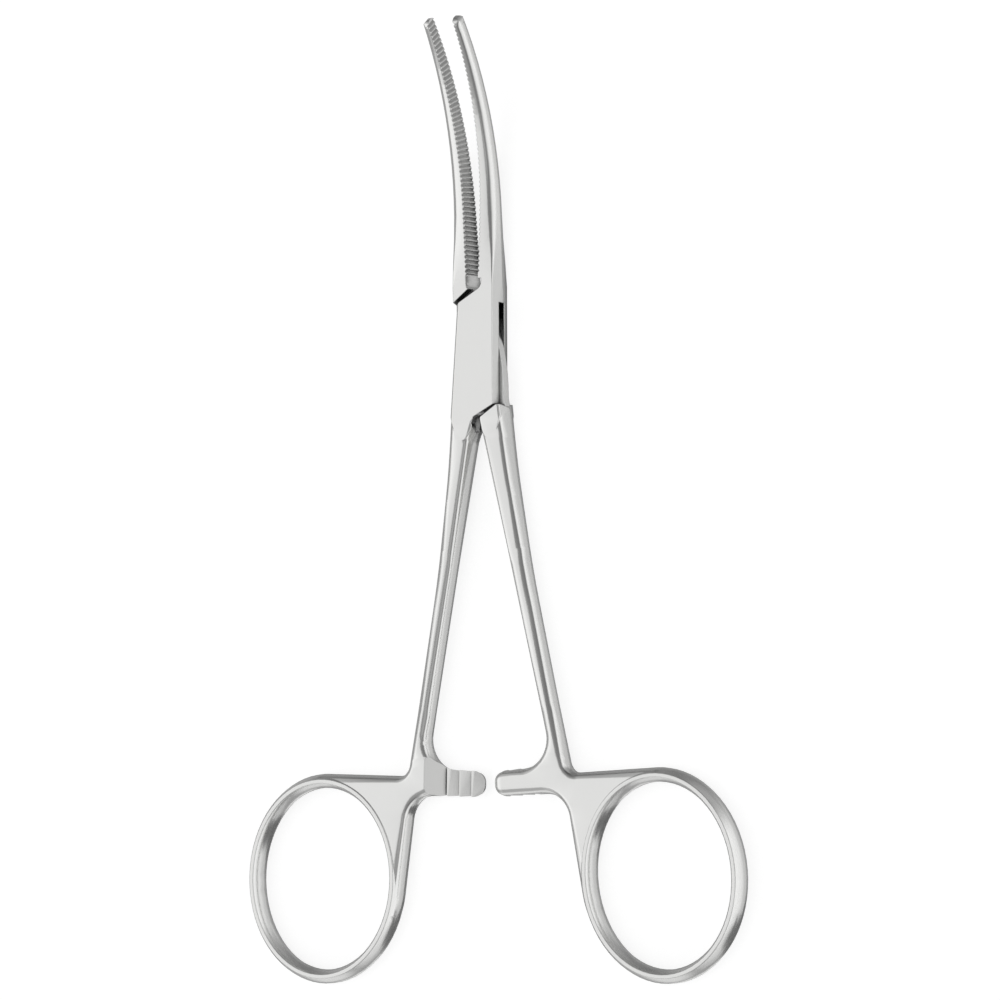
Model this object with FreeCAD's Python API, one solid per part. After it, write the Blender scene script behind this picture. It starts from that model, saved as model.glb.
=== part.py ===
import FreeCAD, Part
import math
import os
from FreeCAD import Vector

# Curved pean forceps with a box lock, 14 cm, in millimetres.
# The pivot axis is +Z through the origin, z = 0 is the underside of the box, the jaws point along +Y
# and their tips curve up. Both halves are drawn closed, tips touching, about the mid-plane of the box,
# with the jaw on -X and the shank on +X. The box half is the mirror image of that.

# Box lock
BOX_THICKNESS = 4.3
BOX_HALF_LENGTH = 9.6
SLOT_THICKNESS = 1.5
TONGUE_SIDE_CLEARANCE = 0.03
SLOT_END_DISTANCE = 1.7
SLOT_END_CLEARANCE = 0.1
SLOT_ROOT_OFFSET = 0.3
FORGING_DRAFT = 0.23
BOX_EDGE_BEVEL = 0.25
BOX_JAW_SIDE_TOP = 3.5
TONGUE_JAW_SIDE_TOP = 3.3
BOX_JAW_SIDE_BOTTOM = 3.87
BOX_SHANK_SIDE_TOP = 3.15
CHEEK_CORNER_RADIUS = 1.2

# Ends of the box and of the half that passes through it, in plan, closed
END = BOX_HALF_LENGTH
BOX_INNER_END = [(-0.45, -END - 0.35, 1.0), (0.62, -END - 3.6, 3.0)]
TONGUE_INNER_END = [(-0.45, -END + 1.6, 0)]
CHEEK_UPPER_EDGE = ((2.8, END - 2.65), (-0.1, END - 0.85))
CHEEK_LOWER_EDGE = ((-3.35, -END + 2.0), (-0.12, -END + 0.2))
LOCK_ZONE = [
    (-7.0, END - 5.16, 0),
    (-7.0, -END - 3.93, 0),
    (0.45, -END + 0.08, 0.9),
    (3.55, -END + 1.85, 0.5),
    (4.5, -END + 0.7, 0.8),
    (7.0, -END - 4.4, 0),
    (7.0, END + 1.4, 0),
    (-0.3, END + 1.4, 0),
    (-0.3, END - 0.5, 0),
]
TONGUE_SHANK_EDGE = [(3.8, -END + 2.7), (3.85, -2.5), (2.6, END - 5.0)]
TONGUE_JAW_EDGE = [(-3.15, END - 2.7), (-3.25, 2.5), (-2.6, -END + 5.0)]
HEEL_LINK = [
    (-3.15, END - 3.6),
    (-0.1, END - 3.6),
    (-0.1, END - 0.8),
    (-0.5, END - 0.2),
    (-3.1, END - 1.7),
    (-3.15, END - 2.7),
]
SHOULDER_LINK = [
    (3.8, -END + 3.6),
    (0.45, -END + 3.6),
    (0.45, -END + 0.6),
    (0.9, -END - 0.2),
    (3.95, -END + 1.4),
    (3.8, -END + 2.7),
]
BOX_FACE_ZONE = [
    (-9.0, END + 3.0, 0),
    (-9.0, -END, 0),
    (-0.55, -END, 0),
    (1.4, -END - 3.3, 0.6),
    (2.7, -END - 3.0, 0.6),
    (4.1, -END + 1.0, 0),
    (9.0, -END + 1.0, 0),
    (9.0, END + 3.0, 0),
]

# Pivot pin, a rivet with countersunk ends ground flush
PIN_DIAMETER = 2.4
PIN_RUNNING_CLEARANCE = 0.04
PIN_HEAD_DIAMETER = 3.1
PIN_HEAD_DEPTH = 0.55

# Jaws
JAW_CURVE_START = 19.9
JAW_CURVE_RADIUS = 49.0
JAW_LENGTH = 39.9
JAW_CURVE_STEPS = 12
JAW_TIP_WIDTH = 1.2
JAW_TIP_DEPTH = 2.1
BOX_JAW_BASE_GAP = 0.5
TONGUE_JAW_BASE_GAP = 0.32
JAW_TIP_GAP = 0.02
JAW_OUTER_ROUND = 1.0
JAW_FACE_CHAMFER = 0.16
TIP_PLAN_ROUND = 1.0
TIP_SIDE_ROUND = 0.9
SERRATION_PITCH = 0.7
SERRATION_DEPTH = 0.28
SERRATION_WIDTH = 0.6
SERRATION_START = 2.1
RELIEF_WIDTH = 1.76
RELIEF_LENGTH = 2.8
RELIEF_CENTRE_X = 0.3
RELIEF_CENTRE_Y = 10.3

# Shanks
SHANK_OUTER_BEND = (4.63, -17.0)
SHANK_OUTER_MIDDLE = (6.42, -33.0)
SHANK_OUTER_SLOPE = 0.1565
SHANK_INNER_TOP = (1.0, -15.7)
SHANK_INNER_SLOPE = 0.1633
SHANK_THICKNESS_MIDDLE = 3.1
SHANK_MIDDLE_Y = -30.0
SHANK_THICKNESS_LOW = 2.96
SHANK_LOW_Y = -52.0
SHANK_WIDE_BEVEL = (0.8, 0.3)
SHANK_STEEP_BEVEL = (0.25, 0.3)

# Ratchet tangs
TANG_TOP = -60.2
TANG_BOTTOM = -64.27
TANG_END = -1.45
TANG_END_ROUND = 1.7
TANG_TOP_FILLET = 4.2
TANG_BOTTOM_FILLET = 3.9
RATCHET_PITCH = 2.03
RATCHET_TEETH = 3
RATCHET_FIRST_EDGE = 4.74
RATCHET_DEPTH = 0.5
RATCHET_LAND = 0.2
RATCHET_GAP = 0.1
RATCHET_RAMP_TOP = 7.8
RATCHET_RAMP_FOOT = 5.1
RATCHET_RECESS_TOP = -58.7

# Finger rings
RING_CENTRE = (24.97, -76.85)
RING_TILT = 2.2
RING_DEPTH = 3.6
RING_HOLE_LENGTH = 27.92
RING_HOLE_WIDTH = 23.56
RING_FACET_WIDTH = 0.58
RING_INNER_BULGE = 0.7
RING_OUTER_BULGE = 0.8
RING_LEVELS = (-1, -0.6, -0.2, 0.2, 0.6, 1)
WEB_OUTER_FILLET = 1.9
WEB_INNER_SLOPE = 0.12
WEB_END_REACH = 9.2
WEB_END_ROUND = 12.0
WEB_TOP_ROUND = 8.5
WEB_STEP = 0.12
WEB_START_Y = -59.0

# Pose in which the forceps lie: each half is turned this far from closed
REST_HALF_ANGLE = 2.38

HALF_BOX = BOX_THICKNESS / 2
HALF_SLOT = SLOT_THICKNESS / 2
HALF_RING_DEPTH = RING_DEPTH / 2
SLOT_END_RADIUS = BOX_HALF_LENGTH - SLOT_END_DISTANCE
Z_AXIS = Vector(0, 0, 1)
ORIGIN = Vector(0, 0, 0)


def unit(a, b):
    """Direction from point a to point b in the plane, with the distance between them."""
    length = math.hypot(b[0] - a[0], b[1] - a[1])
    return (b[0] - a[0]) / length, (b[1] - a[1]) / length, length


def inset_corner(before, corner, after, inset):
    """Corner of a counter-clockwise outline after both of its edges move inwards."""
    ax, ay, _ = unit(before, corner)
    bx, by, _ = unit(corner, after)
    turn = ax * by - ay * bx
    if abs(turn) < 1e-9:
        return corner[0] - ay * inset, corner[1] + ax * inset
    shift = inset / (1 + ax * bx + ay * by)
    return corner[0] + shift * (-ay - by), corner[1] + shift * (ax + bx)


def outline(corners, z=0.0, inset=0.0):
    """Closed wire through counter-clockwise corners (x, y, radius), rounded at each radius."""
    count = len(corners)
    places = []
    for i, corner in enumerate(corners):
        before = corners[i - 1]
        after = corners[(i + 1) % count]
        ax, ay, _ = unit(before, corner)
        bx, by, _ = unit(corner, after)
        turn = ax * by - ay * bx
        radius = corner[2] - inset * math.copysign(1, turn) if corner[2] > 0 else 0.0
        x, y = inset_corner(before, corner, after, inset)
        places.append((x, y, radius))
    edges = []
    last = None
    first = None
    for i, (x, y, radius) in enumerate(places):
        here = (x, y)
        ax, ay, _ = unit(places[i - 1], here)
        bx, by, _ = unit(here, places[(i + 1) % count])
        if radius > 0:
            angle = math.acos(max(-1.0, min(1.0, ax * bx + ay * by)))
            reach = radius * math.tan(angle / 2)
            start = Vector(x - ax * reach, y - ay * reach, z)
            end = Vector(x + bx * reach, y + by * reach, z)
            depth = radius / math.cos(angle / 2) - radius
            mid_x, mid_y, _ = unit(here, (x + bx - ax, y + by - ay))
            middle = Vector(x + mid_x * depth, y + mid_y * depth, z)
            arc = Part.Arc(start, middle, end).toShape()
        else:
            start = Vector(x, y, z)
            end = start
            arc = None
        if last is not None:
            edges.append(Part.LineSegment(last, start).toShape())
        else:
            first = start
        if arc is not None:
            edges.append(arc)
        last = end
    edges.append(Part.LineSegment(last, first).toShape())
    return Part.Wire(edges)


def prism(corners, low, high):
    """Plan outline extruded from one height to another."""
    return Part.Face(outline(corners, low)).extrude(Vector(0, 0, high - low))


def drafted(corners, half_height):
    """Forged form: widest at its mid-plane, drawn in towards both faces by the draft."""
    inset = half_height * FORGING_DRAFT
    wires = [outline(corners, -half_height, inset), outline(corners), outline(corners, half_height, inset)]
    return Part.makeLoft(wires, True, True)


def shank_outer_x(y):
    """Outer side of the shank below its middle, at the mid-plane."""
    return SHANK_OUTER_MIDDLE[0] + SHANK_OUTER_SLOPE * (SHANK_OUTER_MIDDLE[1] - y)


def shank_inner_x(y):
    """Inner side of the shank, one straight line at the mid-plane."""
    return SHANK_INNER_TOP[0] + SHANK_INNER_SLOPE * (SHANK_INNER_TOP[1] - y)


def ring_half_axes():
    """Half width and half length of the ring at its mid-plane."""
    spread = RING_FACET_WIDTH + RING_OUTER_BULGE
    return RING_HOLE_WIDTH / 2 + spread, RING_HOLE_LENGTH / 2 + spread


def web_touch():
    """Place at the mid-plane where the straight inner side of the web touches the ring."""
    ring_x, ring_y = ring_half_axes()
    tilt = math.radians(RING_TILT)
    lean = math.atan(WEB_INNER_SLOPE) - tilt
    angle = math.atan(math.tan(lean) * ring_y / ring_x)
    across = -ring_x * math.cos(angle)
    along = -ring_y * math.sin(angle)
    x = RING_CENTRE[0] + across * math.cos(tilt) - along * math.sin(tilt)
    y = RING_CENTRE[1] + across * math.sin(tilt) + along * math.cos(tilt)
    return x, y


def forging_corners(inner_end, side_top):
    """Mid-plane outline of box or shoulder, shank, tang and web, counter-clockwise."""
    ring_top = RING_CENTRE[1] + ring_half_axes()[1]
    touch_x, touch_y = web_touch()
    web_inner = touch_x - WEB_INNER_SLOPE * (TANG_BOTTOM - touch_y)
    web_end = touch_y - WEB_END_REACH
    spare = 1
    side_slope = (BOX_JAW_SIDE_BOTTOM - side_top) / (2 * BOX_HALF_LENGTH)
    corners = [
        (BOX_SHANK_SIDE_TOP - spare * side_slope, BOX_HALF_LENGTH + spare, 0),
        (-side_top + spare * side_slope, BOX_HALF_LENGTH + spare, 0),
        (-BOX_JAW_SIDE_BOTTOM, -BOX_HALF_LENGTH, 0),
    ]
    corners += inner_end
    corners += [
        (shank_inner_x(TANG_TOP), TANG_TOP, TANG_TOP_FILLET),
        (TANG_END, TANG_TOP - 0.3, TANG_END_ROUND),
        (TANG_END, TANG_BOTTOM, TANG_END_ROUND),
        (web_inner, TANG_BOTTOM, TANG_BOTTOM_FILLET),
        (touch_x + WEB_INNER_SLOPE * WEB_END_REACH, web_end, WEB_END_ROUND),
        (RING_CENTRE[0] - 2.7, web_end - 1.5, 0),
        (RING_CENTRE[0] + WEB_TOP_ROUND, RING_CENTRE[1], 0),
        (RING_CENTRE[0] + WEB_TOP_ROUND, ring_top, WEB_TOP_ROUND),
        (shank_outer_x(ring_top), ring_top, WEB_OUTER_FILLET),
        (SHANK_OUTER_MIDDLE[0], SHANK_OUTER_MIDDLE[1], 200),
        (SHANK_OUTER_BEND[0], SHANK_OUTER_BEND[1], 150),
    ]
    return corners


def thickness_profile():
    """Side view of a half: thick at the box, thin along the shank, thicker again at the ring."""
    top = [
        (BOX_HALF_LENGTH, HALF_BOX, 0),
        (-BOX_HALF_LENGTH + 0.6, HALF_BOX, 60),
        (SHANK_MIDDLE_Y, SHANK_THICKNESS_MIDDLE / 2, 80),
        (SHANK_LOW_Y, SHANK_THICKNESS_LOW / 2, 30),
        (WEB_START_Y, HALF_RING_DEPTH - WEB_STEP, 20),
        (RING_CENTRE[1] - 20, HALF_RING_DEPTH - WEB_STEP, 0),
    ]
    bottom = [(y, -z, r) for y, z, r in reversed(top)]
    face = Part.Face(outline(top + bottom))
    solid = face.extrude(Vector(0, 0, 60))
    # The outline is drawn in x, y: turn it so that its x runs along +Y and its y along +Z.
    solid.rotate(ORIGIN, Vector(1, 1, 1), 120)
    solid.translate(Vector(-20, 0, 0))
    return solid


def barrel(half_axes, bulge, reach):
    """Elliptical barrel of the ring: bulge is added at the faces and nothing at the mid-plane."""
    wires = []
    for level in RING_LEVELS:
        z = level * reach
        grow = bulge * (z / HALF_RING_DEPTH) ** 2
        minor = half_axes[0] + grow
        major = half_axes[1] + grow
        ellipse = Part.Ellipse(Vector(0, major, 0), Vector(minor, 0, 0), ORIGIN)
        wire = Part.Wire([ellipse.toShape()])
        wire.rotate(ORIGIN, Z_AXIS, RING_TILT)
        wire.translate(Vector(RING_CENTRE[0], RING_CENTRE[1], z))
        wires.append(wire)
    return Part.makeLoft(wires, True, True)


def ring_outside():
    """Solid of the ring's outer surface, bulging outwards at the mid-plane."""
    return barrel(ring_half_axes(), -RING_OUTER_BULGE, HALF_RING_DEPTH)


def ring_hole():
    """Finger hole, narrowest at the mid-plane."""
    axes = (RING_HOLE_WIDTH / 2 - RING_INNER_BULGE, RING_HOLE_LENGTH / 2 - RING_INNER_BULGE)
    return barrel(axes, RING_INNER_BULGE, HALF_RING_DEPTH * 1.2)


def jaw_frame(s):
    """Place on the jaw's centre line at arc length s from its base, and its slope there."""
    straight = JAW_CURVE_START - BOX_HALF_LENGTH
    if s <= straight:
        return BOX_HALF_LENGTH + s, 0.0, 0.0
    angle = (s - straight) / JAW_CURVE_RADIUS
    y = JAW_CURVE_START + JAW_CURVE_RADIUS * math.sin(angle)
    z = JAW_CURVE_RADIUS * (1 - math.cos(angle))
    return y, z, angle


def jaw_sizes(s, root):
    """Gap side, outer side and depth of the jaw at arc length s, from both sides at its root."""
    base_gap, side_top = root
    u = s / JAW_LENGTH
    inner = JAW_TIP_GAP + base_gap * (1 - u * u)
    tip_outer = JAW_TIP_GAP + JAW_TIP_WIDTH
    outer = side_top + (tip_outer - side_top) * u ** 1.15
    depth = BOX_THICKNESS + (JAW_TIP_DEPTH - BOX_THICKNESS) * u ** 0.9
    return inner, outer, depth


def place_on_jaw(shape, s):
    """Move a shape drawn in x, y with y as the jaw's depth to its section at arc length s."""
    y, z, angle = jaw_frame(s)
    shape.rotate(ORIGIN, Vector(1, 0, 0), 90 + math.degrees(angle))
    shape.translate(Vector(0, y, z))
    return shape


def jaw_section(s, root):
    """Flat serrated side with chamfered edges, rounded outer side."""
    inner, outer, depth = jaw_sizes(s, root)
    half = depth / 2
    u = s / JAW_LENGTH
    fade = min(1.0, 0.06 + 4.0 * u)
    outer_round = min(JAW_OUTER_ROUND * fade, 0.62 * half, 0.72 * (outer - inner))
    draft = half * FORGING_DRAFT * (1 - 0.6 * u)
    chamfer = JAW_FACE_CHAMFER * min(1.0, 0.3 + 4.0 * u)
    corners = [
        (-inner, half - chamfer, 0),
        (-inner - chamfer, half, 0),
        (-outer + draft, half, outer_round),
        (-outer, 0, 0.3 + 0.8 * fade),
        (-outer + draft, -half, outer_round),
        (-inner - chamfer, -half, 0),
        (-inner, chamfer - half, 0),
    ]
    return place_on_jaw(outline(corners), s)


def tip_corner(radius, reach):
    """What a rounded corner removes: the corner square less its quarter circle."""
    block = Part.makeBox(radius + 1, radius + 1, 2 * reach, Vector(-radius, -radius, -reach))
    round_bar = Part.makeCylinder(radius, 2 * reach, Vector(-radius, -radius, -reach))
    return block.cut(round_bar)


def at_tip(shape):
    """Move a shape from the frame (x, along the jaw, across its depth) to the jaw's tip."""
    y, z, angle = jaw_frame(JAW_LENGTH)
    shape.rotate(ORIGIN, Vector(1, 0, 0), math.degrees(angle))
    shape.translate(Vector(0, y, z))
    return shape


def rounded_tip(jaw, root):
    """Round the jaw's end in plan on its outer side, and in side view on both faces."""
    inner, outer, depth = jaw_sizes(JAW_LENGTH, root)
    plan = tip_corner(TIP_PLAN_ROUND, depth)
    plan.rotate(ORIGIN, Z_AXIS, 90)
    plan.translate(Vector(-outer, 0, 0))
    front = tip_corner(TIP_SIDE_ROUND, outer + 1)
    front.rotate(ORIGIN, Vector(1, 1, 1), 120)
    front.translate(Vector(0, 0, depth / 2))
    back = front.mirror(ORIGIN, Z_AXIS)
    return jaw.cut([at_tip(plan), at_tip(front), at_tip(back)])


def serrations(root):
    """V-grooves across the flat side of the jaw, one pitch apart, square to its curve."""
    overshoot = 0.03
    grooves = []
    count = int((JAW_LENGTH - SERRATION_START - SERRATION_PITCH / 2) / SERRATION_PITCH)
    for i in range(count + 1):
        s = SERRATION_START + i * SERRATION_PITCH
        inner, outer, depth = jaw_sizes(s, root)
        half_width = SERRATION_WIDTH / 2 * (1 + overshoot / SERRATION_DEPTH)
        points = [
            Vector(-inner - SERRATION_DEPTH, 0, 0),
            Vector(-inner + overshoot, half_width, 0),
            Vector(-inner + overshoot, -half_width, 0),
        ]
        groove = Part.Face(Part.makePolygon(points + points[:1])).extrude(Vector(0, 0, depth + 0.4))
        groove.translate(Vector(0, 0, -depth / 2 - 0.2))
        y, z, angle = jaw_frame(s)
        groove.rotate(ORIGIN, Vector(1, 0, 0), math.degrees(angle))
        groove.translate(Vector(0, y, z))
        grooves.append(groove)
    return grooves


def jaw(root):
    """Whole jaw from the box to the rounded tip, with its serrations."""
    straight = JAW_CURVE_START - BOX_HALF_LENGTH
    steps = [0, straight / 3, straight * 2 / 3]
    steps += [straight + (JAW_LENGTH - straight) * i / JAW_CURVE_STEPS for i in range(JAW_CURVE_STEPS + 1)]
    solid = Part.makeLoft([jaw_section(s, root) for s in steps], True, True)
    return rounded_tip(solid, root).cut(serrations(root))


def relief():
    """Oval hole that the two jaws leave between them where they meet the box."""
    half_width = RELIEF_WIDTH / 2
    half_length = RELIEF_LENGTH / 2
    corners = [
        (RELIEF_CENTRE_X - half_width, RELIEF_CENTRE_Y - half_length, half_width * 0.98),
        (RELIEF_CENTRE_X + half_width, RELIEF_CENTRE_Y - half_length, half_width * 0.98),
        (RELIEF_CENTRE_X + half_width, RELIEF_CENTRE_Y + half_length, half_width * 0.98),
        (RELIEF_CENTRE_X - half_width, RELIEF_CENTRE_Y + half_length, half_width * 0.98),
    ]
    return prism(corners, -HALF_BOX - 1, HALF_BOX + 1)


def ratchet_cut():
    """What is cut from the full thickness to leave a tang of half thickness with teeth under it."""
    crest = RATCHET_GAP / 2
    root = crest + RATCHET_DEPTH
    slope = (root + HALF_RING_DEPTH) / (RATCHET_RAMP_TOP - RATCHET_RAMP_FOOT)
    low = -HALF_RING_DEPTH - 1
    points = [(RATCHET_RAMP_TOP + 1 / slope, low), (RATCHET_RAMP_FOOT, root)]
    for i in range(RATCHET_TEETH):
        edge = RATCHET_FIRST_EDGE - i * RATCHET_PITCH
        points.append((edge, root))
        points.append((edge, crest))
        points.append((edge - RATCHET_LAND, crest))
    points.append((RATCHET_FIRST_EDGE - RATCHET_TEETH * RATCHET_PITCH, root))
    points.append((TANG_END - 1, root))
    points.append((TANG_END - 1, low))
    wire = Part.makePolygon([Vector(x, 0, z) for x, z in points + points[:1]])
    cutter = Part.Face(wire).extrude(Vector(0, -8, 0))
    cutter.translate(Vector(0, RATCHET_RECESS_TOP, 0))
    return cutter


def face_levels(solid, edge):
    """How level the two faces that meet at an edge are: 0 for an upright side, 1 for a front or back."""
    middle = edge.valueAt((edge.FirstParameter + edge.LastParameter) / 2)
    levels = []
    for face in solid.ancestorsOfType(edge, Part.Face):
        u, v = face.Surface.parameter(middle)
        levels.append(abs(face.normalAt(u, v).z))
    return min(levels), max(levels)


def shank_rims(plate, lowest, highest):
    """Rims of the shank, tang and web, but not of jaw side or ring, whose flatter face is within limits."""
    rims = []
    for edge in plate.Edges:
        centre = edge.CenterOfMass
        jaw_side = centre.x < -0.7 and centre.y > -BOX_HALF_LENGTH - 2
        box_end = centre.y > BOX_HALF_LENGTH - 0.1
        in_ring = centre.x > RING_CENTRE[0] - 0.7 or centre.y < RING_CENTRE[1] + 0.7
        if jaw_side or box_end or in_ring:
            continue
        upright, level = face_levels(plate, edge)
        if upright < 0.5 and lowest < level < highest:
            rims.append(edge)
    return rims


def softened(plate):
    """Round the rims in two steps, a wide shallow bevel and then a narrow steep one."""
    along_face, down_side = SHANK_WIDE_BEVEL
    plate = plate.makeChamfer(along_face, down_side, shank_rims(plate, 0.985, 1.01))
    along_bevel, down_side = SHANK_STEEP_BEVEL
    return plate.makeChamfer(along_bevel, down_side, shank_rims(plate, 0.7, 0.985))


def forging(inner_end, side_top):
    """Box bar, shank, tang, web and ring in one piece, with soft edges and the finger hole."""
    corners = forging_corners(inner_end, side_top)
    plate = drafted(corners, HALF_BOX + 0.1).common(thickness_profile()).Solids[0]
    box_zone = prism(BOX_FACE_ZONE, -BOX_THICKNESS, BOX_THICKNESS)
    box_end = plate.makeChamfer(BOX_EDGE_BEVEL, shank_rims(plate, 0.985, 1.01)).common(box_zone)
    plate = softened(plate).cut(box_zone).fuse(box_end)
    return plate.fuse(ring_outside()).cut(ring_hole())


def half_blank(inner_end, tang_up, root):
    """Forging and jaw joined, with the relief hole and the ratchet cut, before the lock is made."""
    whole = forging(inner_end, root[1]).fuse(jaw(root))
    ratchet = ratchet_cut()
    if not tang_up:
        ratchet = ratchet.mirror(ORIGIN, Z_AXIS)
    return whole.cut([relief(), ratchet])


def offset_line_y(line, x):
    """Height at x of the straight line through two points."""
    (x1, y1), (x2, y2) = line
    return y1 + (y2 - y1) * (x - x1) / (x2 - x1)


def slot_window():
    """Slot right through the box, with rounded ends at the root of the jaw and of the shank."""
    far = BOX_HALF_LENGTH + 2
    window = Part.makeCylinder(SLOT_END_RADIUS, SLOT_THICKNESS, Vector(0, 0, -HALF_SLOT))
    upper = Part.makeBox(20, far, SLOT_THICKNESS, Vector(-SLOT_ROOT_OFFSET, 0, -HALF_SLOT))
    lower = Part.makeBox(20, far, SLOT_THICKNESS, Vector(SLOT_ROOT_OFFSET - 20, -far, -HALF_SLOT))
    return window.fuse([upper, lower])


def pin_solid(clearance):
    """Rivet with a countersunk head at each face of the box, or the bore that it runs in."""
    radius = PIN_DIAMETER / 2 + clearance
    head = PIN_HEAD_DIAMETER / 2 + clearance
    neck = HALF_BOX - PIN_HEAD_DEPTH
    profile = [
        (0, -HALF_BOX),
        (head, -HALF_BOX),
        (radius, -neck),
        (radius, neck),
        (head, HALF_BOX),
        (0, HALF_BOX),
    ]
    wire = Part.makePolygon([Vector(x, 0, z) for x, z in profile + profile[:1]])
    return Part.Face(wire).revolve(ORIGIN, Z_AXIS, 360)


def box_half():
    """Half with the box, drawn like the other one and mirrored at the end."""
    blank = half_blank(BOX_INNER_END, False, (BOX_JAW_BASE_GAP, BOX_JAW_SIDE_TOP))
    far = 7
    relief_wall = RELIEF_CENTRE_X - RELIEF_WIDTH / 2 - 0.57
    upper = [
        (far, offset_line_y(CHEEK_UPPER_EDGE, far), 0),
        (far, BOX_HALF_LENGTH + 1, 0),
        (relief_wall, BOX_HALF_LENGTH + 1, 0),
        (relief_wall, offset_line_y(CHEEK_UPPER_EDGE, relief_wall), CHEEK_CORNER_RADIUS),
    ]
    lower = [
        (-far, offset_line_y(CHEEK_LOWER_EDGE, -far), 0),
        (-far, -BOX_HALF_LENGTH - 2, 0),
        (0.1, -BOX_HALF_LENGTH - 1.6, 0),
        (0.3, -BOX_HALF_LENGTH - 0.7, 0),
        (CHEEK_LOWER_EDGE[1][0], CHEEK_LOWER_EDGE[1][1], 0),
    ]
    tall = HALF_BOX + 1
    ends = [prism(upper, -tall, tall), prism(lower, -tall, tall)]
    return blank.cut(ends + [slot_window(), pin_solid(0)])


def tongue():
    """Thin plate through the box: bowed sides, round ends, and a root under heel and shoulder."""
    half = HALF_SLOT - TONGUE_SIDE_CLEARANCE
    right = [Vector(x, y, -half) for x, y in TONGUE_SHANK_EDGE]
    left = [Vector(x, y, -half) for x, y in TONGUE_JAW_EDGE]
    edges = [
        Part.Arc(right[0], right[1], right[2]).toShape(),
        Part.LineSegment(right[2], left[0]).toShape(),
        Part.Arc(left[0], left[1], left[2]).toShape(),
        Part.LineSegment(left[2], right[0]).toShape(),
    ]
    strip = Part.Face(Part.Wire(edges)).extrude(Vector(0, 0, 2 * half))
    round_end = SLOT_END_RADIUS - SLOT_END_CLEARANCE
    strip = strip.common(Part.makeCylinder(round_end, 2 * half, Vector(0, 0, -half)))
    roots = []
    for link in (HEEL_LINK, SHOULDER_LINK):
        corners = [(x, y, 0) for x, y in link]
        roots.append(prism(corners, -half, half))
    bore = Part.makeCylinder(PIN_DIAMETER / 2 + PIN_RUNNING_CLEARANCE, 2 * half, Vector(0, 0, -half))
    return strip.fuse(roots).cut(bore)


def tongue_half():
    """Half with the tongue: the bar is cut away between heel and shoulder to leave only the tongue."""
    blank = half_blank(TONGUE_INNER_END, True, (TONGUE_JAW_BASE_GAP, TONGUE_JAW_SIDE_TOP))
    lock_zone = prism([(x, y, r) for x, y, r in LOCK_ZONE], -HALF_BOX - 1, HALF_BOX + 1)
    return blank.cut(lock_zone).fuse(tongue())


def laid_down(shape, turn):
    """Turn a half from closed to the resting pose and lift the box onto z = 0."""
    shape.rotate(ORIGIN, Z_AXIS, turn)
    shape.translate(Vector(0, 0, HALF_BOX))
    return shape


def main():
    os.makedirs("parts", exist_ok=True)
    box = box_half().mirror(ORIGIN, Vector(1, 0, 0))
    nodes = {
        "box_half": laid_down(box, -REST_HALF_ANGLE),
        "tongue_half": laid_down(tongue_half(), REST_HALF_ANGLE),
        "pivot_pin": laid_down(pin_solid(0), 0),
    }
    for name, shape in nodes.items():
        print(name, len(shape.Solids), shape.isValid(), round(shape.Volume, 2), len(shape.Faces))
        shape.exportStep("parts/" + name + ".step")


if __name__ == "__main__":
    main()
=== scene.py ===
import math

import bmesh
import bpy
from bpy.props import FloatProperty, FloatVectorProperty, PointerProperty
from mathutils import Matrix, Vector


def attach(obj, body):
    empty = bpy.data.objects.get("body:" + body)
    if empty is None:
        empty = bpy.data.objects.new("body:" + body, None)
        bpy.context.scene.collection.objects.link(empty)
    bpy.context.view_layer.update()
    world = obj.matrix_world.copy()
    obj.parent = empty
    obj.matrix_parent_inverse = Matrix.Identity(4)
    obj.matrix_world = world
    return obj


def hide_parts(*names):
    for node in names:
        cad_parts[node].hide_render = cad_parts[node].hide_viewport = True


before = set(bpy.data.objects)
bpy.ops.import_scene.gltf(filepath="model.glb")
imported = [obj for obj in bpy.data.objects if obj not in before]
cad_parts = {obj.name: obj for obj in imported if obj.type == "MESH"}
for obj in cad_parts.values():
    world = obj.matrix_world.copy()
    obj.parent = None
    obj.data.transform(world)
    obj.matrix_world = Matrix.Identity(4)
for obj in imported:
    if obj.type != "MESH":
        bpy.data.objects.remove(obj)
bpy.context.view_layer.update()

bl_info = {
    "name": "Curved Pean Forceps",
    "version": (1, 0, 0),
    "blender": (4, 5, 0),
    "location": "View3D > Sidebar > Forceps",
    "description": "Dresses the curved pean forceps in satin steel and lays them on a pale floor",
    "category": "Object",
}

MM = 0.001

# Closed jaws in millimetres, as the solids have them. Places lie along +Y from the pivot, and
# the length follows the jaw's curve.
PIVOT_HEIGHT = 2.15
JAW_ROOT = 9.6
JAW_CURVE_START = 19.9
JAW_CURVE_RADIUS = 49.0
JAW_TIP = 47.7
JAW_LENGTH = 39.9
# A jaw's gap side and outer side, as distances from the middle of the gap, and the power by
# which the outer side narrows
JAW_ROOT_EDGES = {"box_half": (0.52, 3.5), "tongue_half": (0.34, 3.3)}
JAW_TIP_EDGES = (0.02, 1.22)
JAW_TAPER = 1.15
# Factor on X that puts each half's closed jaw at -X, and how far each half is turned open
JAW_SIDE = {"box_half": -1, "tongue_half": 1}
REST_HALF_ANGLE = math.radians(2.38)

# A jaw's crown in millimetres: lengthwise cuts at these shares of the width, through faces
# whose normals lean less than this to the side, with points this near to a cut taken as on it,
# and the length from the root over which the crown grows in
CROWN_CUTS = (0.2, 0.4, 0.6, 0.8)
CROWN_FACE_LEAN = 0.3
CROWN_CUT_SNAP = 1e-5
CROWN_GROWTH = 9.0

# The ratchets and their ramps lie below this place, and a ramp slopes by this angle
RATCHET_TOP = -56.0 * MM
RAMP_SLOPE = math.radians(41)
RAMP_TOLERANCE = math.radians(6)

# Points nearer than this are one point, and an edge that turns further than this is sharp
MERGE_DISTANCE = 0.0005 * MM
SMOOTH_LIMIT = math.radians(34)

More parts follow.
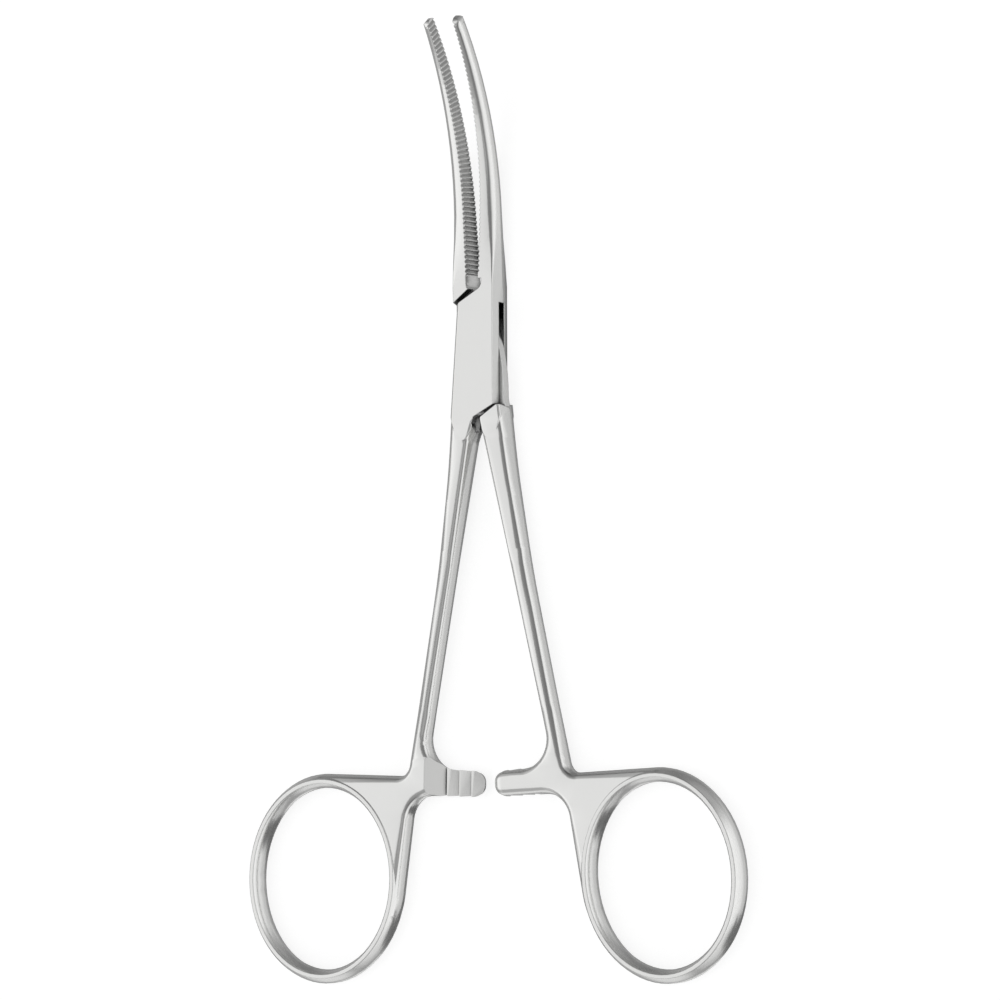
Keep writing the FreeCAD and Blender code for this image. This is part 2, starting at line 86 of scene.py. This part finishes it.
# Satin finish, and painted shade in the deep corners
ROUGHNESS = 0.2
PIN_ROUGHNESS_SHARE = 0.95
GRAIN_LENGTH = 2.4 * MM
GRAIN_WIDTH = 0.07 * MM
GRAIN_BUMP = 0.25
GRAIN_HEIGHT = 0.004 * MM
CLOUDS_PER_METRE = 260.0
# Range of a noise, and the factors to which grain and clouds stretch it on the roughness
NOISE_RANGE = (0.3, 0.7)
GRAIN_FACTORS = (0.92, 1.08)
CLOUD_FACTORS = (0.9, 1.1)
# Painted shade in the deep corners: reach of its ambient occlusion mask, and the hidden shares at
# which it begins and is full
PAINTED_SHADE_DEPTH = 2.0 * MM
PAINTED_SHADE_OPEN_BELOW = 0.15
PAINTED_SHADE_CLOSED_ABOVE = 0.65
# Edges stay crisp up to the first value and are worn in full from the second: out from the
# pivot's axis round the pin, and on the ratchets out from the middle and up along +Y
EDGE_RADIUS = 0.2 * MM
PIN_CRISP = (1.8 * MM, 2.2 * MM)
RATCHET_CRISP_ACROSS = (10.0 * MM, 10.5 * MM)
RATCHET_CRISP_ALONG = (-57.5 * MM, -57.0 * MM)

# Floor: its grey for the light and for the camera, its glow for the camera and for mirrored
# rays, and the share of the mirrored rays that it lets past to the air below
FLOOR_ROUGHNESS = 0.9
FLOOR_GREY = 0.9
FLOOR_GREY_SEEN = 0.4
FLOOR_GLOW_SEEN = 0.84
FLOOR_GLOW_MIRRORED = 0.2
FLOOR_SHARE_PAST = 0.75

# Large soft lamp, in metres
LAMP_PLACE = (-0.56, -0.05, 0.72)
LAMP_AIM = (0, -0.02, 0)
LAMP_SIZE = (0.8, 1.4)

# Width of the camera's sensor in millimetres, and the metres between which it sees
CAMERA_SENSOR = 36
CAMERA_CLIP = (0.01, 20)

# Grey of the air that the steel mirrors, by how far a direction leans from straight up towards
# +X, in degrees
AIR_ACROSS = (
    (-180, 0.35),
    (-165, 0.3),
    (-150, 0.2),
    (-128, 0.35),
    (-95, 0.3),
    (-69, 0.35),
    (-62, 0.6),
    (-50, 0.58),
    (-38, 0.46),
    (-28, 0.38),
    (-16, 0.38),
    (-4, 0.33),
    (6, 0.29),
    (18, 0.22),
    (40, 0.18),
    (48, 0.5),
    (56, 0.95),
    (90, 1.05),
    (112, 0.95),
    (125, 0.65),
    (150, 0.65),
    (165, 0.3),
    (180, 0.35),
)
# and its share by a direction's y, from the rings' side at -1 to the tips' side at 1
AIR_ALONG = ((-1, 0.8), (-0.8, 0.85), (-0.55, 1), (0.55, 1), (0.8, 0.4), (1, 0.35))
# Cards hung in the air: direction, half angle of the full tone and half angle where its soft
# edge ends, in degrees, and grey
AIR_CARDS = (
    ((-0.5, -0.86, -0.15), 14, 34, 0.85),
    ((-0.22, -0.48, -0.85), 9, 20, 0.9),
    ((0.22, -0.4, -0.89), 9, 17, 0.02),
    ((0.04, -0.28, -0.96), 7, 15, 0.05),
    ((0.48, -0.57, -0.67), 10, 17, 0.02),
    ((0.68, -0.65, -0.31), 10, 17, 0.02),
    ((0.34, -0.19, 0.92), 6, 13, 0.45),
)

# Places of the colour sockets on a Mix node, which has several of each name
MIX_SHARE, MIX_FIRST, MIX_SECOND, MIX_RESULT = 0, 6, 7, 2


class ForcepsFinish(bpy.types.PropertyGroup):
    """Satin finish of the steel, and the painted shade in its deep corners."""

    steel_colour: FloatVectorProperty(
        name="Steel colour",
        description="Reflected colour of the satin steel",
        subtype="COLOR",
        default=(0.83, 0.83, 0.82),
        min=0,
        max=1,
    )
    # Painted shade: this colour darkens the steel in the lock, the grooves and between the jaws,
    # where ambient occlusion finds shade; it stands in for shade, not for a finish of the steel
    painted_shade_colour: FloatVectorProperty(
        name="Painted shade colour",
        description="Colour of the steel deep in the lock and grooves, where no polishing reaches",
        subtype="COLOR",
        default=(0.12, 0.12, 0.12),
        min=0,
        max=1,
    )
    roughness: FloatProperty(
        name="Roughness",
        description="Roughness of the satin finish",
        default=ROUGHNESS,
        min=0,
        max=1,
        subtype="FACTOR",
    )
    grain_length: FloatProperty(
        name="Grain length",
        description="Length of a polishing mark along the forceps",
        default=GRAIN_LENGTH,
        min=0.1 * MM,
        unit="LENGTH",
    )
    grain_width: FloatProperty(
        name="Grain width",
        description="Width of a polishing mark",
        default=GRAIN_WIDTH,
        min=0.01 * MM,
        unit="LENGTH",
    )
    edge_radius: FloatProperty(
        name="Edge radius",
        description="Radius to which tumbling has worn the sharp edges",
        default=EDGE_RADIUS,
        min=0,
        unit="LENGTH",
    )
    jaw_crown: FloatProperty(
        name="Jaw crown",
        description="Share of its depth that a jaw loses at its outer side, ground round",
        default=0.35,
        min=0,
        max=0.6,
        subtype="FACTOR",
    )


class ForcepsStage(bpy.types.PropertyGroup):
    """Floor, light and camera."""

    floor_size: FloatProperty(
        name="Floor size",
        description="Length of the floor's sides",
        default=6.0,
        min=0.5,
        unit="LENGTH",
    )
    floor_colour: FloatVectorProperty(
        name="Floor colour",
        description="Colour of the floor and of the air behind it",
        subtype="COLOR",
        default=(1.0, 1.0, 1.0),
        min=0,
        max=1,
    )
    lamp_power: FloatProperty(
        name="Lamp power",
        description="Power of the large soft lamp",
        default=1.7,
        min=0,
        unit="POWER",
    )
    camera_yaw: FloatProperty(
        name="Camera yaw",
        description="How far the camera leans from straight above towards +X",
        default=math.radians(30.4),
        subtype="ANGLE",
    )
    camera_pitch: FloatProperty(
        name="Camera pitch",
        description="How far the camera leans from straight above towards the rings",
        default=math.radians(-2.35),
        subtype="ANGLE",
    )
    camera_roll: FloatProperty(
        name="Camera roll",
        description="Turn of the picture about the view direction",
        default=math.radians(1.33),
        subtype="ANGLE",
    )
    camera_distance: FloatProperty(
        name="Camera distance",
        description="Distance from the camera to the pivot",
        default=0.841,
        min=0.1,
        unit="LENGTH",
    )
    camera_offset: FloatVectorProperty(
        name="Camera offset",
        description="Where the middle of the picture lies from the pivot, across the view",
        size=2,
        subtype="XYZ",
        default=(0.00278885, -0.02137155),
        unit="LENGTH",
    )
    camera_lens: FloatProperty(
        name="Camera lens",
        description="Focal length of the camera",
        default=209.52,
        min=10,
        unit="CAMERA",
    )


def new_object(name, data):
    """New object in the scene for a mesh, a light or a camera."""
    made = bpy.data.objects.new(name, data)
    bpy.context.scene.collection.objects.link(made)
    return made


def mesh_object(name, work):
    """New object in the scene with the finished bmesh as its mesh."""
    mesh = bpy.data.meshes.new(name)
    work.to_mesh(mesh)
    work.free()
    return new_object(name, mesh)


def new_material(name):
    """New material; returns it with its node tree and its Principled shader."""
    material = bpy.data.materials.new(name)
    material.use_nodes = True
    return material, material.node_tree, material.node_tree.nodes["Principled BSDF"]


def new_group(name, inputs, outputs):
    """New shader node group with named sockets; returns it with its two end nodes."""
    group = bpy.data.node_groups.new(name, "ShaderNodeTree")
    for label, kind, value in inputs:
        socket = group.interface.new_socket(name=label, in_out="INPUT", socket_type=kind)
        socket.default_value = value
    for label, kind in outputs:
        group.interface.new_socket(name=label, in_out="OUTPUT", socket_type=kind)
    return group, group.nodes.new("NodeGroupInput"), group.nodes.new("NodeGroupOutput")


def node(tree, kind, inputs=None, **settings):
    """New node with its settings and with values or links on its inputs."""
    made = tree.nodes.new(kind)
    for name, value in settings.items():
        setattr(made, name, value)
    for key, value in (inputs or {}).items():
        if isinstance(value, bpy.types.NodeSocket):
            tree.links.new(value, made.inputs[key])
        else:
            made.inputs[key].default_value = value
    return made


def maths(tree, operation, *values):
    """Output of a new Math node."""
    inputs = dict(enumerate(values))
    return node(tree, "ShaderNodeMath", inputs, operation=operation).outputs["Value"]


def vector_maths(tree, operation, *values):
    """Output of a new Vector Math node: a number for a length or dot product, or a vector."""
    inputs = dict(enumerate(values))
    made = node(tree, "ShaderNodeVectorMath", inputs, operation=operation)
    return made.outputs["Value" if operation in ("LENGTH", "DOT_PRODUCT") else "Vector"]


def map_range(tree, value, start, end, results=(0, 1), **settings):
    """Output of a new Map Range node, which turns start..end into the results' range."""
    inputs = {
        "Value": value,
        "From Min": start,
        "From Max": end,
        "To Min": results[0],
        "To Max": results[1],
    }
    return node(tree, "ShaderNodeMapRange", inputs, **settings).outputs["Result"]


def mix_colours(tree, share, first, second, **settings):
    """Colour from a new Mix node: the first where the share is 0, the second where it is 1."""
    inputs = {MIX_SHARE: share, MIX_FIRST: first, MIX_SECOND: second}
    return node(tree, "ShaderNodeMix", inputs, data_type="RGBA", **settings).outputs[MIX_RESULT]


def grey_colour(grey):
    """Opaque colour of one grey."""
    return (grey, grey, grey, 1)


def grey_ramp(tree, place, stops):
    """Colour of a new grey ramp through (place, grey) stops."""
    made = node(tree, "ShaderNodeValToRGB", {"Fac": place})
    points = made.color_ramp.elements
    points.remove(points[1])
    points[0].position = stops[0][0]
    points[0].color = grey_colour(stops[0][1])
    for position, grey in stops[1:]:
        points.new(position).color = grey_colour(grey)
    return made.outputs["Color"]


def satin_group(name):
    """Polishing grain along the forceps, and roughness that varies with it and in clouds."""
    group, start, end = new_group(
        name,
        [
            ("Vector", "NodeSocketVector", (0, 0, 0)),
            ("Grain Length", "NodeSocketFloat", GRAIN_LENGTH),
            ("Grain Width", "NodeSocketFloat", GRAIN_WIDTH),
            ("Roughness", "NodeSocketFloat", ROUGHNESS),
        ],
        [("Grain", "NodeSocketFloat"), ("Roughness", "NodeSocketFloat")],
    )
    across = maths(group, "DIVIDE", 1.0, start.outputs["Grain Width"])
    along = maths(group, "DIVIDE", 1.0, start.outputs["Grain Length"])
    stretch = node(group, "ShaderNodeCombineXYZ", {"X": across, "Y": along, "Z": across})
    place = vector_maths(group, "MULTIPLY", start.outputs["Vector"], stretch.outputs[0])
    grain = node(group, "ShaderNodeTexNoise", {"Vector": place, "Scale": 1.0, "Detail": 3.0})
    cloud = node(
        group,
        "ShaderNodeTexNoise",
        {
            "Vector": start.outputs["Vector"],
            "Scale": CLOUDS_PER_METRE,
            "Detail": 4.0,
            "Roughness": 0.6,
        },
    )
    by_cloud = map_range(group, cloud.outputs["Fac"], *NOISE_RANGE, CLOUD_FACTORS)
    by_grain = map_range(group, grain.outputs["Fac"], *NOISE_RANGE, GRAIN_FACTORS)
    change = maths(group, "MULTIPLY", by_cloud, by_grain)
    rough = maths(group, "MULTIPLY", change, start.outputs["Roughness"])
    group.links.new(grain.outputs["Fac"], end.inputs["Grain"])
    group.links.new(rough, end.inputs["Roughness"])
    return group


def painted_shade_group(name):
    """Mask of painted shade from ambient occlusion: 1 in the lock and the grooves, 0 on open
    faces.
    """
    group, start, end = new_group(
        name,
        [
            ("Depth", "NodeSocketFloat", PAINTED_SHADE_DEPTH),
            ("Open Below", "NodeSocketFloat", PAINTED_SHADE_OPEN_BELOW),
            ("Closed Above", "NodeSocketFloat", PAINTED_SHADE_CLOSED_ABOVE),
        ],
        [("Mask", "NodeSocketFloat")],
    )
    depth = start.outputs["Depth"]
    light = node(group, "ShaderNodeAmbientOcclusion", {"Distance": depth}, samples=12)
    hidden = maths(group, "SUBTRACT", 1.0, light.outputs["AO"])
    mask = map_range(group, hidden, start.outputs["Open Below"], start.outputs["Closed Above"])
    group.links.new(mask, end.inputs["Mask"])
    return group


def worn_edge_group(name):
    """Normal of edges worn round by tumbling, but crisp round the flush pin and on the ratchet."""
    group, start, end = new_group(
        name,
        [
            ("Vector", "NodeSocketVector", (0, 0, 0)),
            ("Radius", "NodeSocketFloat", EDGE_RADIUS),
        ],
        [("Normal", "NodeSocketVector")],
    )
    level = vector_maths(group, "MULTIPLY", start.outputs["Vector"], (1, 1, 0))
    off_pin = map_range(group, vector_maths(group, "LENGTH", level), *PIN_CRISP)
    axis = node(group, "ShaderNodeSeparateXYZ", {0: start.outputs["Vector"]})
    side = maths(group, "ABSOLUTE", axis.outputs["X"])
    beside = map_range(group, side, *RATCHET_CRISP_ACROSS)
    above = map_range(group, axis.outputs["Y"], *RATCHET_CRISP_ALONG)
    off_ratchet = maths(group, "MAXIMUM", beside, above)
    share = maths(group, "MULTIPLY", off_pin, off_ratchet)
    radius = maths(group, "MULTIPLY", share, start.outputs["Radius"])
    worn = node(group, "ShaderNodeBevel", {"Radius": radius}, samples=8)
    group.links.new(worn.outputs["Normal"], end.inputs["Normal"])
    return group


def shared_group(tree, name, maker, inputs=None):
    """New node for the group of that name, which is made once, with its own values."""
    group = bpy.data.node_groups.get(name) or maker(name)
    return node(tree, "ShaderNodeGroup", inputs, node_tree=group)


def satin_material(name, roughness_share=1.0):
    """Satin stainless steel, with painted shade in its deep corners."""
    settings = bpy.context.scene.forceps_finish
    material, tree, shader = new_material(name)
    place = node(tree, "ShaderNodeTexCoord").outputs["Object"]
    satin = shared_group(
        tree,
        "Satin grain",
        satin_group,
        {
            "Vector": place,
            "Grain Length": settings.grain_length,
            "Grain Width": settings.grain_width,
            "Roughness": settings.roughness * roughness_share,
        },
    )
    shade_mask = shared_group(tree, "Painted shade mask", painted_shade_group)
    worn = shared_group(
        tree,
        "Worn edges",
        worn_edge_group,
        {"Vector": place, "Radius": settings.edge_radius},
    )
    # Painted shade: the steel colour turns to the shade colour where the occlusion mask finds deep
    # corners
    tone = mix_colours(
        tree,
        shade_mask.outputs["Mask"],
        (*settings.steel_colour, 1),
        (*settings.painted_shade_colour, 1),
    )
    bump = node(
        tree,
        "ShaderNodeBump",
        {
            "Height": satin.outputs["Grain"],
            "Strength": GRAIN_BUMP,
            "Distance": GRAIN_HEIGHT,
            "Normal": worn.outputs["Normal"],
        },
    )
    tree.links.new(tone, shader.inputs["Base Color"])
    tree.links.new(satin.outputs["Roughness"], shader.inputs["Roughness"])
    tree.links.new(bump.outputs["Normal"], shader.inputs["Normal"])
    shader.inputs["Metallic"].default_value = 1.0
    return material


def jaw_place(point):
    """Length along the closed jaw and height above its middle line for a point on it, in mm."""
    if point.y <= JAW_CURVE_START:
        return point.y - JAW_ROOT, point.z
    ahead = point.y - JAW_CURVE_START
    below = JAW_CURVE_RADIUS - point.z
    along = JAW_CURVE_START - JAW_ROOT + JAW_CURVE_RADIUS * math.atan2(ahead, below)
    return along, JAW_CURVE_RADIUS - math.hypot(ahead, below)


def jaw_edges(along, root):
    """Distances of the jaw's gap side and outer side from the middle of the gap."""
    share = along / JAW_LENGTH
    inner = JAW_TIP_EDGES[0] + (root[0] - JAW_TIP_EDGES[0]) * (1 - share * share)
    outer = root[1] + (JAW_TIP_EDGES[1] - root[1]) * share ** JAW_TAPER
    return inner, outer


def closed_frame(source):
    """Matrix to millimetres about the pivot, with the half closed and its jaw at -X."""
    side = JAW_SIDE[source]
    closing = Matrix.Rotation(-side * REST_HALF_ANGLE, 4, "Z")
    scale = Matrix.Diagonal((side / MM, 1 / MM, 1 / MM, 1))
    return scale @ closing @ Matrix.Translation((0, 0, -PIVOT_HEIGHT * MM))


def cut_jaw(work, start, end):
    """Cut the jaw's fronts and backs lengthwise, upright through two points."""
    line = end - start
    faces = [
        face
        for face in work.faces
        if face.calc_center_median().y > JAW_ROOT and abs(face.normal.x) < CROWN_FACE_LEAN
    ]
    edges = dict.fromkeys(edge for face in faces for edge in face.edges)
    verts = dict.fromkeys(vert for face in faces for vert in face.verts)
    bmesh.ops.bisect_plane(
        work,
        geom=[*faces, *edges, *verts],
        dist=CROWN_CUT_SNAP,
        plane_co=start,
        plane_no=(line.y, -line.x, 0),
    )


def crown_jaw(work, source):
    """Grind the front and back of a closed jaw round towards its outer side."""
    root = JAW_ROOT_EDGES[source]
    for share in CROWN_CUTS:
        start_x = root[0] + share * (root[1] - root[0])
        end_x = JAW_TIP_EDGES[0] + share * (JAW_TIP_EDGES[1] - JAW_TIP_EDGES[0])
        cut_jaw(work, Vector((-start_x, JAW_ROOT, 0)), Vector((-end_x, JAW_TIP, 0)))
    bmesh.ops.triangulate(work, faces=[face for face in work.faces if len(face.verts) > 3])
    crown = bpy.context.scene.forceps_finish.jaw_crown
    for vert in work.verts:
        if vert.co.y <= JAW_ROOT:
            continue
        along, height = jaw_place(vert.co)
        inner, outer = jaw_edges(along, root)
        share = min(1.0, max(0.0, (-vert.co.x - inner) / (outer - inner)))
        grown = min(1.0, along / CROWN_GROWTH)
        eased = grown * grown * (3 - 2 * grown)
        height *= 1 - crown * eased * share * share
        if vert.co.y <= JAW_CURVE_START:
            vert.co.z = height
            continue
        angle = (along - JAW_CURVE_START + JAW_ROOT) / JAW_CURVE_RADIUS
        vert.co.y = JAW_CURVE_START + (JAW_CURVE_RADIUS - height) * math.sin(angle)
        vert.co.z = JAW_CURVE_RADIUS - (JAW_CURVE_RADIUS - height) * math.cos(angle)


def ramp_faces(work, source):
    """Faces of the flat ramp that leads down to a half's ratchet; none on the pin."""
    if source not in JAW_SIDE:
        return set()
    side = JAW_SIDE[source]
    slope = Vector((-side * math.sin(RAMP_SLOPE), 0, -side * math.cos(RAMP_SLOPE)))
    low = [face for face in work.faces if face.calc_center_median().y < RATCHET_TOP]
    return {face for face in low if face.normal.angle(slope, math.pi) < RAMP_TOLERANCE}


def smooth_copy(name, source):
    """Merged copy of a CAD node, with its jaw crowned and its curved faces shaded smooth."""
    work = bmesh.new()
    work.from_mesh(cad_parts[source].data)
    bmesh.ops.remove_doubles(work, verts=work.verts, dist=MERGE_DISTANCE)
    bmesh.ops.dissolve_degenerate(work, edges=work.edges, dist=MERGE_DISTANCE)
    if source in JAW_SIDE:
        closed = closed_frame(source)
        bmesh.ops.transform(work, matrix=closed, verts=work.verts)
        crown_jaw(work, source)
        bmesh.ops.transform(work, matrix=closed.inverted(), verts=work.verts)
    work.normal_update()
    ramp = ramp_faces(work, source)
    for face in work.faces:
        face.smooth = True
    for edge in work.edges:
        curved = len(edge.link_faces) == 2 and edge.calc_face_angle(math.pi) < SMOOTH_LIMIT
        edge.smooth = curved and len(ramp.intersection(edge.link_faces)) != 1
    return mesh_object(name, work)


def finish_piece(piece, material, body, source):
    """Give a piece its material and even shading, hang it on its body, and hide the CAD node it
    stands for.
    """
    piece.data.materials.append(material)
    weights = piece.modifiers.new("Even shading", "WEIGHTED_NORMAL")
    weights.keep_sharp = True
    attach(piece, body)
    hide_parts(source)


class FORCEPS_OT_halves(bpy.types.Operator):
    """Dress the two halves in satin steel"""

    bl_idname = "forceps.halves"
    bl_label = "Halves"

    def execute(self, context):
        steel = satin_material("satin_steel_forging")
        box = smooth_copy("box_half_satin", "box_half")
        finish_piece(box, steel, "box", "box_half")
        tongue = smooth_copy("tongue_half_satin", "tongue_half")
        finish_piece(tongue, steel, "tongue", "tongue_half")
        return {"FINISHED"}


class FORCEPS_OT_pin(bpy.types.Operator):
    """Dress the pivot pin in the same satin steel"""

    bl_idname = "forceps.pin"
    bl_label = "Pivot pin"

    def execute(self, context):
        steel = satin_material("satin_steel_pin", PIN_ROUGHNESS_SHARE)
        pin = smooth_copy("pivot_pin_satin", "pivot_pin")
        finish_piece(pin, steel, "box", "pivot_pin")
        return {"FINISHED"}


def add_floor(settings):
    """Pale floor that keeps the shadow and lets most mirrored rays past."""
    work = bmesh.new()
    bmesh.ops.create_grid(work, x_segments=1, y_segments=1, size=settings.floor_size / 2)
    floor = mesh_object("studio_floor", work)
    material, tree, shader = new_material("studio_floor")
    shader.inputs["Roughness"].default_value = FLOOR_ROUGHNESS
    shader.inputs["Specular IOR Level"].default_value = 0.0
    path = node(tree, "ShaderNodeLightPath").outputs
    seen = path["Is Camera Ray"]
    mirrored = maths(tree, "MAXIMUM", path["Is Glossy Ray"], path["Is Transmission Ray"])
    tone = mix_colours(tree, seen, grey_colour(FLOOR_GREY), grey_colour(FLOOR_GREY_SEEN))
    tree.links.new(tone, shader.inputs["Base Color"])
    mirrored_glow = maths(tree, "MULTIPLY", mirrored, FLOOR_GLOW_MIRRORED)
    strength = maths(tree, "MULTIPLY_ADD", seen, FLOOR_GLOW_SEEN, mirrored_glow)
    colour = (*settings.floor_colour, 1)
    glow = node(tree, "ShaderNodeEmission", {"Color": colour, "Strength": strength})
    lit = node(tree, "ShaderNodeAddShader", {0: shader.outputs[0], 1: glow.outputs[0]})
    clear = node(tree, "ShaderNodeBsdfTransparent")
    past = maths(tree, "MULTIPLY", mirrored, FLOOR_SHARE_PAST)
    shaders = {0: past, 1: lit.outputs[0], 2: clear.outputs[0]}
    whole = node(tree, "ShaderNodeMixShader", shaders)
    tree.links.new(whole.outputs[0], tree.nodes["Material Output"].inputs["Surface"])
    floor.data.materials.append(material)


def add_air(scene, settings):
    """Air in the floor's colour for the camera, and with light and dark sides for the steel."""
    world = bpy.data.worlds.new("studio_air")
    scene.world = world
    world.use_nodes = True
    tree = world.node_tree
    direction = node(tree, "ShaderNodeTexCoord").outputs["Generated"]
    axis = node(tree, "ShaderNodeSeparateXYZ", {0: direction}).outputs
    lean = maths(tree, "ARCTAN2", axis["X"], axis["Z"])
    turn = map_range(tree, lean, -math.pi, math.pi)
    across = grey_ramp(tree, turn, [((angle + 180) / 360, grey) for angle, grey in AIR_ACROSS])
    level = map_range(tree, axis["Y"], -1, 1)
    along = grey_ramp(tree, level, [((y + 1) / 2, grey) for y, grey in AIR_ALONG])
    air = mix_colours(tree, 1.0, across, along, blend_type="MULTIPLY")
    for middle, full, end, grey in AIR_CARDS:
        nearness = vector_maths(tree, "DOT_PRODUCT", direction, Vector(middle).normalized())
        cover = map_range(
            tree,
            nearness,
            math.cos(math.radians(end)),
            math.cos(math.radians(full)),
            interpolation_type="SMOOTHSTEP",
        )
        air = mix_colours(tree, cover, air, grey_colour(grey))
    seen = node(tree, "ShaderNodeLightPath").outputs["Is Camera Ray"]
    tone = mix_colours(tree, seen, air, (*settings.floor_colour, 1))
    tree.links.new(tone, tree.nodes["Background"].inputs["Color"])


def add_lamp(settings):
    """Large soft lamp on the left."""
    data = bpy.data.lights.new("lamp_left", "AREA")
    data.shape = "RECTANGLE"
    data.size, data.size_y = LAMP_SIZE
    data.energy = settings.lamp_power
    lamp = new_object("lamp_left", data)
    lamp.location = LAMP_PLACE
    view = Vector(LAMP_AIM) - Vector(LAMP_PLACE)
    lamp.rotation_euler = view.to_track_quat("-Z", "Y").to_euler()


def camera_place(settings):
    """Matrix of the camera, turned from straight above by its yaw, pitch and roll."""
    roll = Matrix.Rotation(settings.camera_roll, 3, "Z")
    pitch = Matrix.Rotation(settings.camera_pitch, 3, "X")
    yaw = Matrix.Rotation(-settings.camera_yaw, 3, "Y")
    turn = (roll @ pitch @ yaw).transposed()
    offset = Vector((*settings.camera_offset, settings.camera_distance))
    pivot = Vector((0, 0, PIVOT_HEIGHT * MM))
    return Matrix.Translation(pivot + turn @ offset) @ turn.to_4x4()


def add_camera(scene, settings):
    """Camera at the photograph's viewing angle."""
    data = bpy.data.cameras.new("camera")
    data.sensor_width = CAMERA_SENSOR
    data.lens = settings.camera_lens
    data.clip_start, data.clip_end = CAMERA_CLIP
    camera = new_object("camera", data)
    camera.matrix_world = camera_place(settings)
    scene.camera = camera


class FORCEPS_OT_stage(bpy.types.Operator):
    """Lay the floor and set the air, the lamp and the camera"""

    bl_idname = "forceps.stage"
    bl_label = "Stage"

    def execute(self, context):
        scene = context.scene
        settings = scene.forceps_stage
        scene.view_settings.view_transform = "Standard"
        add_floor(settings)
        add_air(scene, settings)
        add_lamp(settings)
        add_camera(scene, settings)
        return {"FINISHED"}


class FORCEPS_PT_panel(bpy.types.Panel):
    """Pieces and stage of the forceps"""

    bl_idname = "FORCEPS_PT_panel"
    bl_label = "Pean Forceps"
    bl_space_type = "VIEW_3D"
    bl_region_type = "UI"
    bl_category = "Forceps"

    def draw(self, context):
        layout = self.layout
        for group in (context.scene.forceps_finish, context.scene.forceps_stage):
            box = layout.box()
            for name in group.bl_rna.properties.keys():
                if name not in ("rna_type", "name"):
                    box.prop(group, name)
        for step in STEPS:
            layout.operator(step.bl_idname)


STEPS = (FORCEPS_OT_halves, FORCEPS_OT_pin, FORCEPS_OT_stage)
CLASSES = (ForcepsFinish, ForcepsStage, *STEPS, FORCEPS_PT_panel)


def register():
    for kind in CLASSES:
        bpy.utils.register_class(kind)
    bpy.types.Scene.forceps_finish = PointerProperty(type=ForcepsFinish)
    bpy.types.Scene.forceps_stage = PointerProperty(type=ForcepsStage)


def unregister():
    del bpy.types.Scene.forceps_stage
    del bpy.types.Scene.forceps_finish
    for kind in reversed(CLASSES):
        bpy.utils.unregister_class(kind)


def main():
    register()
    bpy.ops.forceps.halves()
    bpy.ops.forceps.pin()
    bpy.ops.forceps.stage()


if __name__ == "__main__":
    main()
